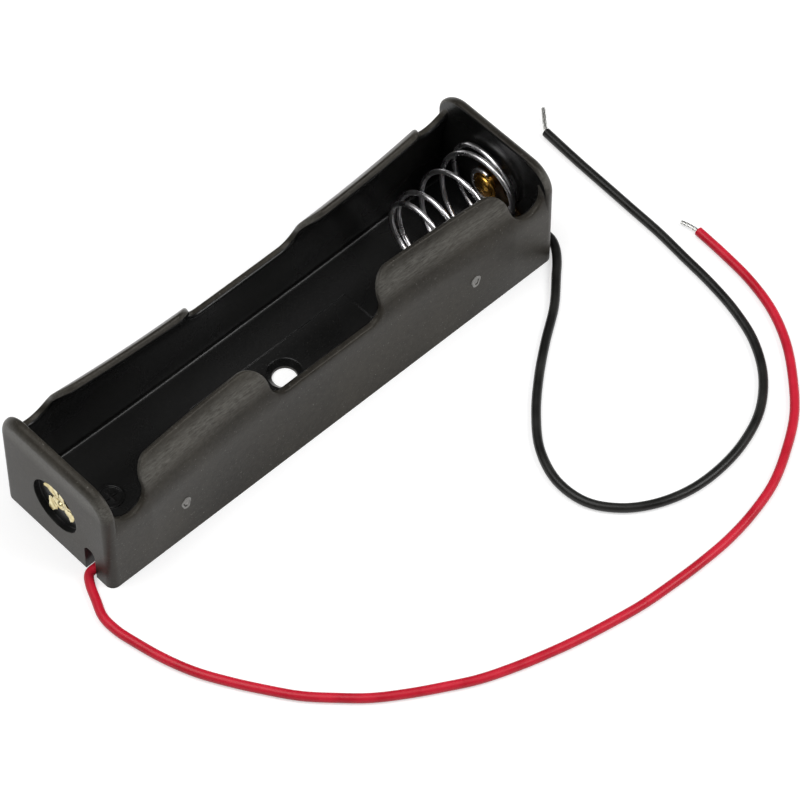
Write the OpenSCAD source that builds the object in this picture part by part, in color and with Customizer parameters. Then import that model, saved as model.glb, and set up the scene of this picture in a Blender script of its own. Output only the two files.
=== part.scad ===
// Single cylindrical cell holder with two flying leads.
// The cell lies along X: the rivet contact is at the -X end and the spring at the +X end.
// The origin is at the centre of the underside, with +Z out of the open top.

/* [Housing] */
// Length over both end walls
body_l = 77.7; // [74:0.1:86]
// Width over both side walls
body_w = 20.7; // [19.5:0.1:24]
// Height of the end walls
body_h = 18; // [17:0.1:21]
// Thickness of the side walls
side_wall = 1.15; // [0.8:0.05:1.6]
// Thickness of the end walls
end_wall = 1.6; // [1.5:0.1:2.6]
// Thickness of the floor
floor_t = 1.4; // [1.1:0.1:2]
// Radius of the end walls' outer edge, up the corners and over the top
corner_r = 1.2; // [0.6:0.1:1.3]
// Radius of the top corners of the end walls, seen along the cell
shoulder_r = 4; // [2:0.5:5]
// Radius of the fillet between floor and side walls
floor_fillet_r = 0.5; // [0.3:0.1:1.5]

/* [Gripping lips] */
// Angle that the lips wrap round the cell above its axis
lip_angle = 45.5; // [30:0.5:50]
// Distance from mid length to the lips' inner ends
lip_start = 9.6; // [6:0.1:12]
// Distance from each end wall to the lips' outer ends
lip_end_gap = 5.7; // [3:0.1:8]
// How far the walls lean inward at mid length
wall_lean = 1.3; // [0:0.1:2]
// Height of the low stretch of wall between the lips
mid_cut_z = 12.1; // [10:0.1:13.5]
// Height of the notches beside the end walls
end_cut_z = 12.6; // [11:0.1:14]
// Radius of the corners at the bottom of the middle cut-outs
mid_cut_r = 2.5; // [0.5:0.1:3]
// Radius of the lips' corners beside the middle cut-outs
mid_lip_r = 3.2; // [0.4:0.1:4]
// Radius of the lips' corners beside the end walls
end_lip_r = 2.5; // [0.4:0.1:3]

/* [Floor features] */
// Distance of the fixing screw hole from mid length, towards the positive end
screw_x = 0.7; // [0:0.1:3]
// Distance of the fixing screw hole from mid width, towards the leads' side
screw_y = 0.7; // [0:0.1:1.5]
// Diameter of the fixing screw hole
screw_d = 3.4; // [2.5:0.1:4]
// Diameter of the countersink at the floor's upper face
countersink_d = 4.9; // [4.2:0.1:6]
// Outer diameter of the raised ring round the plus sign
ring_d = 3.7; // [2.5:0.1:5]
// Distance of the ring's centre from the positive end wall
ring_inset = 7.2; // [4:0.1:12]
// Width of the raised lines of the ring and plus sign
mark_w = 0.35; // [0.25:0.05:0.6]
// Height of the raised lines and depth of the recessed panel
mark_h = 0.15; // [0.1:0.05:0.3]
// Length of the recessed panel in the floor
panel_l = 27.4; // [15:0.1:40]
// Distance from mid width to the panel's far edge
panel_edge_y = 3.3; // [1:0.1:6]

/* [Contacts] */
// Height of both contact rivets above the underside
contact_z = 8.1; // [7.6:0.1:10]
// Diameter of the round window over each rivet
window_d = 8.2; // [7.2:0.1:9]
// Depth of the window in the end wall
window_depth = 0.9; // [0.5:0.05:1.1]
// Thickness of the contact plates
plate_t = 0.3; // [0.2:0.05:0.5]
// Diameter of the round part of the positive contact plate
plate_d = 8.6; // [6:0.1:10]
// Diameter of the round part of the negative contact plate, under the spring
tag_d = 5.2; // [4.6:0.1:8]
// Width of the solder leg on each plate
leg_w = 2; // [1.4:0.1:2.6]
// Diameter of the rivet shanks
shank_d = 2.2; // [1.8:0.1:2.8]
// Clearance round the rivet shanks
shank_clear = 0.05; // [0.02:0.01:0.15]
// Diameter of the rivet heads
head_d = 4.4; // [3.6:0.1:5]
// Height of the domed rivet heads
head_h = 0.7; // [0.4:0.1:1]
// Number of petals that the flared rivet end splits into
petal_count = 6; // [5:1:8]
// Reach of the petals from the rivet's axis
petal_reach = 2.9; // [2.2:0.1:3.3]
// Thickness of the petals
petal_t = 0.3; // [0.2:0.05:0.4]

/* [Spring] */
// Diameter of the spring wire
spring_wire_d = 0.75; // [0.6:0.05:0.9]
// Radius of the spring's first coil, at the wall
spring_base_r = 6.2; // [5:0.1:6.2]
// Radius of the spring's free coil
spring_free_r = 4.8; // [4:0.1:5.5]
// Free length of the spring, from its first to its last coil
spring_l = 13.5; // [10:0.1:16]
// How far the coils lean towards the wall at their upper far side
coil_lean = 0.6; // [0:0.1:1]
// Gap between the spring's first coil and the metal on each side of it
spring_clear = 0.08; // [0.05:0.01:0.15]

/* [Leads] */
// Outer diameter of each lead
lead_d = 1.3; // [1:0.1:1.5]
// Width of the slots that the leads leave by
slot_w = 2; // [1.9:0.1:2.4]
// Height of the lead slots
slot_h = 5.2; // [4.4:0.1:6]
// Distance of the middle of the slots and solder legs from the outside of the side wall
slot_inset = 4; // [3.8:0.1:4.4]
// How far the slots run on into the floor as channels
channel_l = 2; // [1.8:0.1:3]
// Diameter of the bare wire strands
strand_d = 0.6; // [0.4:0.05:0.8]

/* [Hidden] */

cut = 1;                                     // overrun of cutting shapes
bay_r = body_w / 2 - side_wall;              // radius of the cell bay
axis_z = floor_t + bay_r;                    // height of the cell's axis
inner_x = body_l / 2 - end_wall;             // inner face of the end walls
lip_end = inner_x - lip_end_gap;             // outer ends of the lips
core_l = body_l - 2 * corner_r;              // length between the rounded outer edges
wall_end_x = (inner_x + core_l / 2) / 2;     // side walls run this far into the end walls
slot_y = body_w / 2 - slot_inset;
lip_top_z = axis_z + body_w / 2 * sin(lip_angle);
lean_full_z = mid_cut_z + 0.4 * mid_cut_r;   // height at which the lean is complete
web_x = body_l / 2 - window_depth;           // outer face of the thin web behind each window
plate_x = inner_x - plate_t;                 // free face of each contact plate
leg_bottom_z = floor_t + 0.5;
leg_top_z = slot_h - leg_w / 5;
coil_r = spring_wire_d / 2;
coil_x = plate_x - spring_clear - coil_r;    // axis of the wire in the first coil
neg_head_x = coil_x - coil_r - spring_clear; // back of the negative rivet's head
seam = 0.03;                                 // the end walls stand this much proud of the side walls
wall_y = body_w / 2 - seam;                  // outer face of the side walls
foot_z = floor_t / 3;                        // the side walls are rooted this deep in the floor
arc_fn = 72;
wall_steps = 18;
arc_steps = 6;

// ---------------------------------------------------------------- general shapes

// Rectangle standing on the first axis, with its two upper corners rounded
module rounded_top(width, height, r) {
    translate([-width / 2, 0]) square([width, height - r]);
    translate([-width / 2 + r, 0]) square([width - 2 * r, height]);
    for (s = [-1, 1])
        translate([s * (width / 2 - r), height - r]) circle(r, $fn = arc_fn);
}

// Extrudes a shape drawn in the YZ plane along X, centred
module along_x(length) {
    rotate([90, 0, 90]) linear_extrude(length, center = true) children();
}

// Extrudes a shape drawn in the XZ plane along Y, centred
module along_y(length) {
    rotate([90, 0, 0]) linear_extrude(length, center = true) children();
}

// Faces of a tube or loft of closed rings, with flat ends
function loft_faces(rings, sides) = concat(
    [[for (k = [sides - 1:-1:0]) k]],
    [for (i = [0:rings - 2], k = [0:sides - 1])
        [i * sides + k, i * sides + (k + 1) % sides, (i + 1) * sides + k]],
    [for (i = [0:rings - 2], k = [0:sides - 1])
        [i * sides + (k + 1) % sides, (i + 1) * sides + (k + 1) % sides, (i + 1) * sides + k]],
    [[for (k = [0:sides - 1]) (rings - 1) * sides + k]]);

function unit(v) = v / norm(v);

// Direction of a route at its point i
function heading(route, i) =
    unit(route[min(i + 1, len(route) - 1)] - route[max(i - 1, 0)]);

// One ring of a round wire about a route's point
function wire_ring(at, ahead, r, sides) =
    let (across = unit(cross(ahead, abs(ahead.z) > 0.9 ? [1, 0, 0] : [0, 0, 1])),
         up = cross(across, ahead))
    [for (k = [0:sides - 1])
        at + r * (cos(360 * k / sides) * across + sin(360 * k / sides) * up)];

// Round wire of radius r along a route of points
module wire(route, r, sides = 8) {
    points = [for (i = [0:len(route) - 1])
        each wire_ring(route[i], heading(route, i), r, sides)];
    polyhedron(points, loft_faces(len(route), sides), convexity = 10);
}

// Catmull-Rom point between p1 and p2
function spline_point(p0, p1, p2, p3, t) =
    0.5 * (2 * p1 + (p2 - p0) * t + (2 * p0 - 5 * p1 + 4 * p2 - p3) * t * t
           + (3 * p1 - p0 - 3 * p2 + p3) * t * t * t);

// Route with one extra point in the middle of each span, on a smooth curve
function smooth_route(route) = let (last = len(route) - 1) [
    for (i = [0:last]) each concat([route[i]], i == last ? [] : [
        spline_point(route[max(i - 1, 0)], route[i], route[i + 1], route[min(i + 2, last)], 0.5)])];

// ---------------------------------------------------------------- housing

// How far the wall leans inward at distance x from mid length and at height z
function lean(x, z) =
    let (u = min(abs(x) / lip_end, 1), v = min(z / lean_full_z, 1))
    wall_lean * cos(90 * pow(u, 1.5)) * (1 - pow(1 - v, 2));

// Point of the wall's section on a circle about the cell's axis
function lip_point(r, angle) = [r * cos(angle), axis_z + r * sin(angle)];

// Upright section of a side wall from foot to lip, as pairs of an outer and an inner point
wall_pairs = concat(
    [[[wall_y, foot_z], [bay_r - floor_fillet_r, foot_z]],
     [[wall_y, floor_t * 0.6], [bay_r - floor_fillet_r, floor_t - seam]]],
    [for (k = [3:-1:0]) [[wall_y, floor_t + floor_fillet_r * (1 - k / 4)],
        [bay_r - floor_fillet_r * (1 - cos(22.5 * k)), floor_t + floor_fillet_r * (1 - sin(22.5 * k))]]],
    [for (k = [1:4]) let (z = floor_t + floor_fillet_r + (axis_z - floor_t - floor_fillet_r) * k / 4)
        [[wall_y, z], [bay_r, z]]],
    [for (k = [1:arc_steps]) let (angle = lip_angle * k / arc_steps)
        [lip_point(wall_y, angle), lip_point(bay_r, angle)]]);

// Triangles between one strip of points and the next, where a row is one section of the loft
function strip_faces(rows, row, a, b) = [for (i = [0:rows - 2])
    each [[i * row + a, i * row + b, (i + 1) * row + a], [i * row + b, (i + 1) * row + b, (i + 1) * row + a]]];

// Side wall before it is cut, as a loft of leaning sections along X
module leaning_wall() {
    n = len(wall_pairs);
    row = 2 * n;
    rows = wall_steps + 1;
    points = [for (i = [0:wall_steps], pair = wall_pairs, p = pair)
        let (x = wall_end_x * (1 - 2 * i / wall_steps)) [x, p.x - lean(x, p.y), p.y]];
    end_cap = [for (k = [0:n - 2])
        each [[2 * k, 2 * k + 1, 2 * k + 2], [2 * k + 2, 2 * k + 1, 2 * k + 3]]];
    last = row * wall_steps;
    polyhedron(points, concat(
        end_cap,
        [for (f = end_cap) [last + f[0], last + f[2], last + f[1]]],
        [for (k = [0:n - 2]) each strip_faces(rows, row, 2 * k, 2 * k + 2)],
        [for (k = [0:n - 2]) each strip_faces(rows, row, 2 * k + 3, 2 * k + 1)],
        strip_faces(rows, row, 1, 0),
        strip_faces(rows, row, 2 * n - 2, 2 * n - 1)), convexity = 10);
}

// Window between two lips: round bottom corners, and flared where the lips' corners are rounded
module lip_gap(x0, x1, bottom_z, bottom_r, lip_r) {
    width = x1 - x0;
    translate([(x0 + x1) / 2, 0]) {
        translate([-width / 2, bottom_z + bottom_r]) square([width, body_h]);
        translate([-width / 2 + bottom_r, bottom_z]) square([width - 2 * bottom_r, body_h]);
        for (s = [-1, 1]) {
            translate([s * (width / 2 - bottom_r), bottom_z + bottom_r]) circle(bottom_r, $fn = arc_fn);
            translate([s * (width + lip_r) / 2, lip_top_z]) difference() {
                square([lip_r, 2 * lip_r], center = true);
                translate([s * lip_r / 2, -lip_r]) circle(lip_r, $fn = arc_fn);
            }
        }
    }
}

// The four places where the side walls are cut down
module wall_cuts() {
    end_r = (inner_x - lip_end) / 2 - 0.01;
    along_y(body_w + 2 * cut) {
        lip_gap(-lip_start, lip_start, mid_cut_z, mid_cut_r, mid_lip_r);
        lip_gap(lip_end, inner_x, end_cut_z, end_r, end_lip_r);
        lip_gap(-inner_x, -lip_end, end_cut_z, end_r, end_lip_r);
    }
}

// Quarter of a disc, with its corner at the origin, and a little more to bite into its neighbours
module edge_quarter() {
    intersection() {
        circle(corner_r, $fn = arc_fn);
        square(corner_r);
    }
    translate([-seam, -seam]) square([2 * seam, corner_r]);
    translate([-seam, -seam]) square([corner_r, 2 * seam]);
}

// Rounded outer edge of the +X end wall: up one corner, over its shoulder, and along the top
module end_rounding() {
    shoulder_y = body_w / 2 - shoulder_r;
    shoulder_z = body_h - shoulder_r;
    translate([0, 0, body_h - corner_r]) along_y(2 * shoulder_y) edge_quarter();
    for (side = [0, 1]) mirror([0, side, 0]) {
        translate([0, body_w / 2 - corner_r, 0]) linear_extrude(shoulder_z) edge_quarter();
        translate([0, shoulder_y, shoulder_z]) rotate([90, 0, 90]) rotate_extrude(angle = 90, $fn = arc_fn)
            translate([shoulder_r - corner_r, 0]) edge_quarter();
    }
}

// Floor and end walls in one block with rounded edges
module tray() {
    difference() {
        union() {
            along_x(core_l) rounded_top(body_w, body_h, shoulder_r);
            along_x(body_l) rounded_top(body_w - 2 * corner_r, body_h - corner_r, shoulder_r - corner_r);
            for (end = [0, 1]) mirror([end, 0, 0]) translate([core_l / 2, 0, 0]) end_rounding();
        }
        translate([-inner_x, -body_w, floor_t]) cube([2 * inner_x, 2 * body_w, body_h]);
    }
}

// Raised ring with a plus sign on the floor
module polarity_mark() {
    translate([ring_inset - inner_x, 0, floor_t - mark_h]) linear_extrude(2 * mark_h) {
        difference() {
            circle(d = ring_d, $fn = arc_fn);
            circle(d = ring_d - 2 * mark_w, $fn = arc_fn);
        }
        square([ring_d / 2, mark_w], center = true);
        square([mark_w, ring_d / 2], center = true);
    }
}

// Window, rivet hole and lead slot of the end wall at the +X end
module end_cuts() {
    translate([web_x, 0, contact_z]) rotate([0, 90, 0]) {
        cylinder(h = body_l, d = window_d, $fn = arc_fn);
        translate([0, 0, -end_wall]) cylinder(h = body_l, d = shank_d + 2 * shank_clear, $fn = arc_fn);
    }
    translate([inner_x - channel_l, -slot_y - slot_w / 2, -cut])
        cube([end_wall + channel_l + cut, slot_w, slot_h - slot_w / 2 + cut]);
    translate([inner_x - channel_l, -slot_y, slot_h - slot_w / 2]) rotate([0, 90, 0])
        cylinder(h = end_wall + channel_l + cut, d = slot_w, $fn = arc_fn);
}

// Fixing hole through the floor, countersunk from inside
module screw_hole() {
    sink = (countersink_d - screw_d) / 2;
    translate([-screw_x, -screw_y, 0]) {
        translate([0, 0, -cut]) cylinder(h = floor_t + 2 * cut, d = screw_d, $fn = arc_fn);
        translate([0, 0, floor_t - mark_h - sink])
            cylinder(h = sink + mark_h, d1 = screw_d, d2 = countersink_d + 2 * mark_h, $fn = arc_fn);
    }
}

module housing() {
    color("#2b2a29") difference() {
        union() {
            tray();
            for (side = [0, 1]) mirror([0, side, 0]) difference() {
                leaning_wall();
                wall_cuts();
            }
            polarity_mark();
        }
        translate([-panel_l / 2, panel_edge_y - bay_r, floor_t - mark_h])
            cube([panel_l, bay_r, mark_h + cut]);
        screw_hole();
        end_cuts();
        mirror([1, 0, 0]) end_cuts();
    }
}

// ---------------------------------------------------------------- contacts

// Plate flat on the inner face of the +X end wall, with a leg down to the lead slot
module contact_plate(disc_d) {
    translate([inner_x - plate_t / 2, 0, 0]) difference() {
        union() {
            along_x(plate_t) translate([0, contact_z]) circle(d = disc_d, $fn = arc_fn);
            along_x(plate_t) polygon([
                [-disc_d / 4, contact_z - disc_d / 2.4], [leg_w / 2 - slot_y, leg_top_z],
                [leg_w / 2 - slot_y, leg_bottom_z], [-leg_w / 2 - slot_y, leg_bottom_z],
                [-leg_w / 2 - slot_y, leg_top_z + leg_w / 4], [-disc_d / 2.2, contact_z]]);
        }
        along_x(3 * plate_t) translate([0, contact_z])
            circle(d = shank_d + 2 * shank_clear, $fn = arc_fn);
    }
}

// Hollow rivet through the +X end wall: domed head inside at head_x, flared petals outside
module rivet(head_x) {
    bore_r = shank_d / 4;
    translate([0, 0, contact_z]) rotate([0, 90, 0]) {
        translate([0, 0, head_x]) rotate_extrude($fn = arc_fn) difference() {
            translate([0, -head_h]) scale_dome(head_d / 2, head_h);
            translate([0, -2 * head_h]) square([bore_r, head_h * 1.4]);
        }
        translate([0, 0, head_x - head_h * 0.2]) difference() {
            cylinder(h = web_x - head_x + head_h * 0.2 + petal_t, d = shank_d, $fn = arc_fn);
            translate([0, 0, head_h * 0.6]) cylinder(h = web_x, r = bore_r, $fn = arc_fn);
        }
        translate([0, 0, web_x]) linear_extrude(petal_t) difference() {
            union() {
                circle(d = shank_d * 1.3, $fn = arc_fn);
                for (i = [0:petal_count - 1]) rotate(360 * i / petal_count) petal();
            }
            circle(r = bore_r, $fn = arc_fn);
        }
    }
}

// Half section of a shallow dome of radius r and height h, standing on h
module scale_dome(r, h) {
    sphere_r = (r * r + h * h) / (2 * h);
    intersection() {
        translate([0, sphere_r]) circle(sphere_r, $fn = 2 * arc_fn);
        square([r, h]);
    }
}

// One tongue of the flared rivet end, along +X
module petal() {
    root = petal_reach * sin(180 / petal_count) * 0.5;
    tip = petal_reach * sin(180 / petal_count) * 0.7;
    polygon([[shank_d / 3, -root], [petal_reach * 0.9, -tip], [petal_reach, -tip / 3],
             [petal_reach, tip / 3], [petal_reach * 0.9, tip], [shank_d / 3, root]]);
}

// Drop of solder on the leg of the +X contact plate
module solder_joint() {
    drop_r = leg_w * 0.4;
    intersection() {
        translate([plate_x, -slot_y, leg_bottom_z + drop_r]) sphere(drop_r, $fn = 32);
        translate([plate_x - drop_r, -slot_y - drop_r, leg_bottom_z])
            cube([drop_r, 2 * drop_r, 2 * drop_r]);
    }
}

module positive_contact_plate() {
    color("#c9c7c0") mirror([1, 0, 0]) contact_plate(plate_d);
}

module positive_rivet() {
    color("#d9c07a") mirror([1, 0, 0]) rivet(plate_x);
}

module positive_solder_joint() {
    color("#b9bbbd") mirror([1, 0, 0]) solder_joint();
}

module negative_contact_plate() {
    color("#d2b263") contact_plate(tag_d);
}

module negative_rivet() {
    color("#d9c07a") rivet(neg_head_x);
}

module negative_solder_joint() {
    color("#b9bbbd") solder_joint();
}

// ---------------------------------------------------------------- spring

eye_r = shank_d / 2 + spring_clear + coil_r;  // radius of the eye round the rivet's shank
eye_turns = 1.1;
spring_turns = 4.75;
spring_phase = 53;
lean_rise = 0.6;                              // turns over which the lean sets in
lean_fade = 2;                                // turns over which it dies away at the free end
spring_steps = 24;                            // rings in each turn

// Share of the free length reached after a number of turns: close coils at both ends
function spring_share(turns) = lookup(turns, [
    [-eye_turns, 0], [0, 0], [0.5, 0.07], [0.75, 0.06], [1.25, 0.26], [1.75, 0.375], [2.25, 0.56],
    [2.75, 0.757], [3.25, 0.875], [3.75, 0.93], [4.25, 0.965], [spring_turns, 1]]);

// Smooth rise from 0 to 1
function ease(v) = let (u = max(0, min(1, v))) u * u * (3 - 2 * u);

function lean_at(turns) = coil_lean * ease(turns / lean_rise)
    * ease((spring_turns - turns) / lean_fade) * cos(360 * turns);

function spring_r(turns) = turns < 0
    ? eye_r + (spring_base_r - eye_r) * (1 + turns / eye_turns)
    : spring_base_r + (spring_free_r - spring_base_r) * turns / spring_turns;

function spring_point(turns) =
    let (angle = spring_phase - 360 * turns, r = spring_r(turns))
    [coil_x - spring_l * spring_share(turns) + lean_at(turns),
     r * cos(angle), contact_z + r * sin(angle)];

module contact_spring() {
    color("#c8ccd0") wire([for (k = [-eye_turns * spring_steps:spring_turns * spring_steps])
        spring_point(k / spring_steps)], coil_r);
}

// ---------------------------------------------------------------- leads

lead_r = lead_d / 2;

lead_shift = 0.2;                             // each lead lies this far to one side of its slot
red_slot_y = -slot_y - lead_shift;
black_slot_y = -slot_y + lead_shift;

inner_end_x = inner_x - 0.6;                  // where the insulation ends inside the bay
inner_end_z = lead_r + 0.25;
strand_bend_x = inner_end_x - 0.7;            // the strands turn back here towards the solder

// Inner end of a lead at the +X end, from inside the bay out through its slot
function slot_route(y) = [
    [inner_end_x, y, inner_end_z], [inner_x + end_wall * 0.1, y, lead_r + 0.15],
    [inner_x + end_wall * 0.6, y, lead_r + 0.05]];

// Bare strands from a lead's inner end, round and up into the solder at the +X end
function strand_route(y) = [
    [inner_end_x, y, inner_end_z], [inner_end_x - 0.45, y, inner_end_z + 0.1],
    [strand_bend_x, (y - slot_y) / 2, leg_bottom_z - 0.45],
    [strand_bend_x, -slot_y, leg_bottom_z + 0.1], [inner_end_x - 0.4, -slot_y, leg_bottom_z + 0.5],
    [inner_end_x, -slot_y, leg_bottom_z + 0.65]];

function mirror_x(route) = [for (p = route) [-p.x, p.y, p.z]];
function on_floor(route) = [for (p = route) [p.x, p.y, lead_r]];

red_route = on_floor([
    [-39.5, -6.7], [-40.5, -8.1], [-41.4, -10.2], [-42.4, -12.7], [-42.5, -15.2], [-42.1, -17.7],
    [-41.0, -22.3], [-39.4, -26.7], [-37.2, -30.8], [-34.8, -34.6], [-32.2, -38.3], [-29.1, -41.6],
    [-25.9, -44.6], [-22.2, -47.2], [-18.4, -49.5], [-14.4, -51.7], [-10.1, -53.4], [-5.7, -54.8],
    [-1.2, -56], [3.5, -57], [8.2, -57.8], [13.1, -58.2], [18.1, -58.4], [23.2, -58.3],
    [28.3, -57.6], [33.5, -56.2], [38.5, -53.7], [43.3, -50.5], [47.3, -46.4], [50.8, -41.8],
    [53.3, -36.8], [54.7, -31.5], [55.3, -26.2], [55.6, -20.9]]);
black_route = on_floor([
    [39.1, -6.2], [40, -6.6], [40.4, -7.5], [40.3, -8.6], [39.8, -9.7], [39.1, -10.7],
    [38, -11.9], [36.6, -13.2], [32.8, -16.7], [28, -20], [23.4, -23.5], [19.1, -27.4],
    [15.5, -31.8], [13.6, -36.8], [14, -41.7], [16.6, -45.5], [20.4, -48.1], [25, -49.6],
    [30, -49.9], [35.3, -49.1], [40.5, -47], [44.9, -43.3], [48, -38.5], [49.7, -33.3],
    [50.6, -28], [51.1, -22.7], [51.6, -17.4], [51.8, -12], [52, -6.7], [52.2, -1.3],
    [52.6, 5.2]]);

red_full = smooth_route(concat(mirror_x(slot_route(red_slot_y)), red_route));
black_full = smooth_route(concat(slot_route(black_slot_y), black_route));

// Tinned strands beyond a lead's outer end
red_tip = [[55.6, -20.9, lead_r], [55.4, -19.5, lead_r], [55.1, -18.2, lead_r - 0.1]];
black_tip = [[52.6, 5.2, lead_r], [53.6, 6.5, lead_r], [55.3, 8.5, lead_r - 0.1]];

module red_lead() {
    color("#c01f3c") wire(red_full, lead_r);
}

module black_lead() {
    color("#1f2022") wire(black_full, lead_r);
}

module red_lead_inner_strands() {
    color("#c98b5a") wire(mirror_x(strand_route(red_slot_y)), strand_d / 2);
}

module black_lead_inner_strands() {
    color("#c98b5a") wire(strand_route(black_slot_y), strand_d / 2);
}

module red_lead_tinned_end() {
    color("#c4c4c0") wire(red_tip, strand_d / 2);
}

module black_lead_tinned_end() {
    color("#c4c4c0") wire(black_tip, strand_d / 2);
}

housing();
positive_contact_plate();
positive_rivet();
positive_solder_joint();
red_lead();
red_lead_inner_strands();
red_lead_tinned_end();
negative_contact_plate();
negative_rivet();
negative_solder_joint();
contact_spring();
black_lead();
black_lead_inner_strands();
black_lead_tinned_end();
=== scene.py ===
"""Looks of a cylindrical cell holder with two flying leads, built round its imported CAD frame.

The scene is in metres in the frame's own axes: +X along the cell towards the spring, +Z up.
Sizes are named below in mm. They repeat part.scad's, apart from those headed as this scene's own.
"""

import math

import bmesh
import bpy
from mathutils import Matrix, Vector


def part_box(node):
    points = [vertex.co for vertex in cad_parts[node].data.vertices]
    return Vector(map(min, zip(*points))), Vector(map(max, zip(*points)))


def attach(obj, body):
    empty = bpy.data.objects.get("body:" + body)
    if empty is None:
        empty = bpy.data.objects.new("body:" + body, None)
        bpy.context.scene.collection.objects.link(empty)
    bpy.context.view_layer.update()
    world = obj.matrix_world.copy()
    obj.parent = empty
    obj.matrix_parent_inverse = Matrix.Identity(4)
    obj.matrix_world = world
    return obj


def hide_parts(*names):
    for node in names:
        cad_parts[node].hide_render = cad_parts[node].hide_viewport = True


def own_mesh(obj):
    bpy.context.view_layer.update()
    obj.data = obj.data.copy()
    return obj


MM = 0.001
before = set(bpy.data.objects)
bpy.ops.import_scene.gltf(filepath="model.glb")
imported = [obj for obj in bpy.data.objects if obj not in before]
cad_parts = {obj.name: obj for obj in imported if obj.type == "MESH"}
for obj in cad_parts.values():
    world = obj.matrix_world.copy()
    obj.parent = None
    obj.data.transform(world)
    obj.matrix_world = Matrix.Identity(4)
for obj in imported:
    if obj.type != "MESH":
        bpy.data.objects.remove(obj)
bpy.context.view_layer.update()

# ---------------------------------------------------------------- sizes, in mm as in part.scad

housing_low, housing_high = (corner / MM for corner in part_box("housing"))
BODY_L = housing_high.x - housing_low.x
BODY_W = housing_high.y - housing_low.y
BODY_H = housing_high.z
SIDE_WALL = 1.15
END_WALL = 1.6
FLOOR_T = 1.4
CORNER_R = 1.2
SHOULDER_R = 4.0
FLOOR_FILLET_R = 0.5
CUT = 1
OUTER_R = BODY_W / 2
BAY_R = OUTER_R - SIDE_WALL
AXIS_Z = FLOOR_T + BAY_R
INNER_X = BODY_L / 2 - END_WALL

LIP_ANGLE = math.radians(45.5)
LIP_TOP_Z = AXIS_Z + OUTER_R * math.sin(LIP_ANGLE)
LIP_START = 9.6
LIP_END_GAP = 5.7
LIP_END = INNER_X - LIP_END_GAP
WALL_LEAN = 1.3
LEAN_FULL_Z = 13.1
MID_CUT_Z = 12.1
END_CUT_Z = 12.6
MID_CUT_R = 2.5
MID_LIP_R = 3.2
END_LIP_R = 2.5

SCREW_AT = (-0.7, -0.7)
SCREW_R = 1.7
COUNTERSINK_R = 2.45
RING_INSET = 7.2
RING_X = RING_INSET - INNER_X
RING_R = 1.85
MARK_W = 0.35
MARK_H = 0.15
PANEL_L = 27.4
PANEL_EDGE_Y = 3.3

CONTACT_Z = 8.1
WINDOW_R = 4.1
WINDOW_DEPTH = 0.9
WEB_X = BODY_L / 2 - WINDOW_DEPTH
PLATE_T = 0.3
PLATE_X = INNER_X - PLATE_T
SHANK_R = 1.1
SHANK_CLEAR = 0.05
SLOT_INSET = 4.0
SLOT_Y = -(OUTER_R - SLOT_INSET)
SLOT_R = 1.0
SLOT_H = 5.2
CHANNEL_L = 2.0

SPRING_WIRE_R = 0.375
SPRING_CLEAR = 0.08
SPRING_EYE_R = 1.555
SPRING_EYE_TURNS = 1.1
SPRING_BASE_R = 6.2
SPRING_FREE_R = 4.8
SPRING_L = 13.5
SPRING_TURNS = 4.75
SPRING_PHASE = 53.0
SPRING_SHARES = (
    (-1.1, 0), (0, 0), (0.5, 0.07), (0.75, 0.06), (1.25, 0.26), (1.75, 0.375), (2.25, 0.56),
    (2.75, 0.757), (3.25, 0.875), (3.75, 0.93), (4.25, 0.965), (4.75, 1),
)
COIL_LEAN = 0.6
LEAN_RISE = 0.6
LEAN_FADE = 2.0
COIL_X = PLATE_X - SPRING_CLEAR - SPRING_WIRE_R
NEGATIVE_HEAD_X = COIL_X - SPRING_WIRE_R - SPRING_CLEAR

LEAD_R = 0.65
STRAND_R = 0.3
LEAD_SHIFT = 0.2
RED_SLOT_Y = SLOT_Y - LEAD_SHIFT
BLACK_SLOT_Y = SLOT_Y + LEAD_SHIFT
INNER_END_X = INNER_X - 0.6
INNER_END_Z = LEAD_R + 0.25
LEG_BOTTOM_Z = FLOOR_T + 0.5

# ---------------------------------------------------------------- this scene's own sizes, in mm

EDGE_R = 0.35
FLOOR_INSET = 0.35
OVERLAP = 0.1
GATE_MARKS = ((-25.7, 6.25), (24.95, 6.7))
GATE_MARK_R = 1.05
GATE_MARK_H = 0.09
HEAD_R = 2.1
HEAD_H = 0.9
BRIM_T = 0.22
BRIM_W = 0.3
PETAL_T = 0.15
PETAL_ROOT_R = 0.72
PETAL_ROOT_HALF = 0.36
PETAL_TOP = 0.62
STRAND_COUNT = 7

# ---------------------------------------------------------------- the leads' routes


def flat(*points):
    """A route's points on the surface that the holder stands on."""
    return [(x, y, LEAD_R) for x, y in points]


def slot_route(y):
    """A lead's inner end at the +X end, from inside the bay out through its slot."""
    return [
        (INNER_END_X, y, INNER_END_Z),
        (INNER_X + 0.16, y, LEAD_R + 0.15),
        (INNER_X + 0.96, y, LEAD_R + 0.05),
    ]


def mirrored(points):
    return [(-x, y, z) for x, y, z in points]


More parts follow.
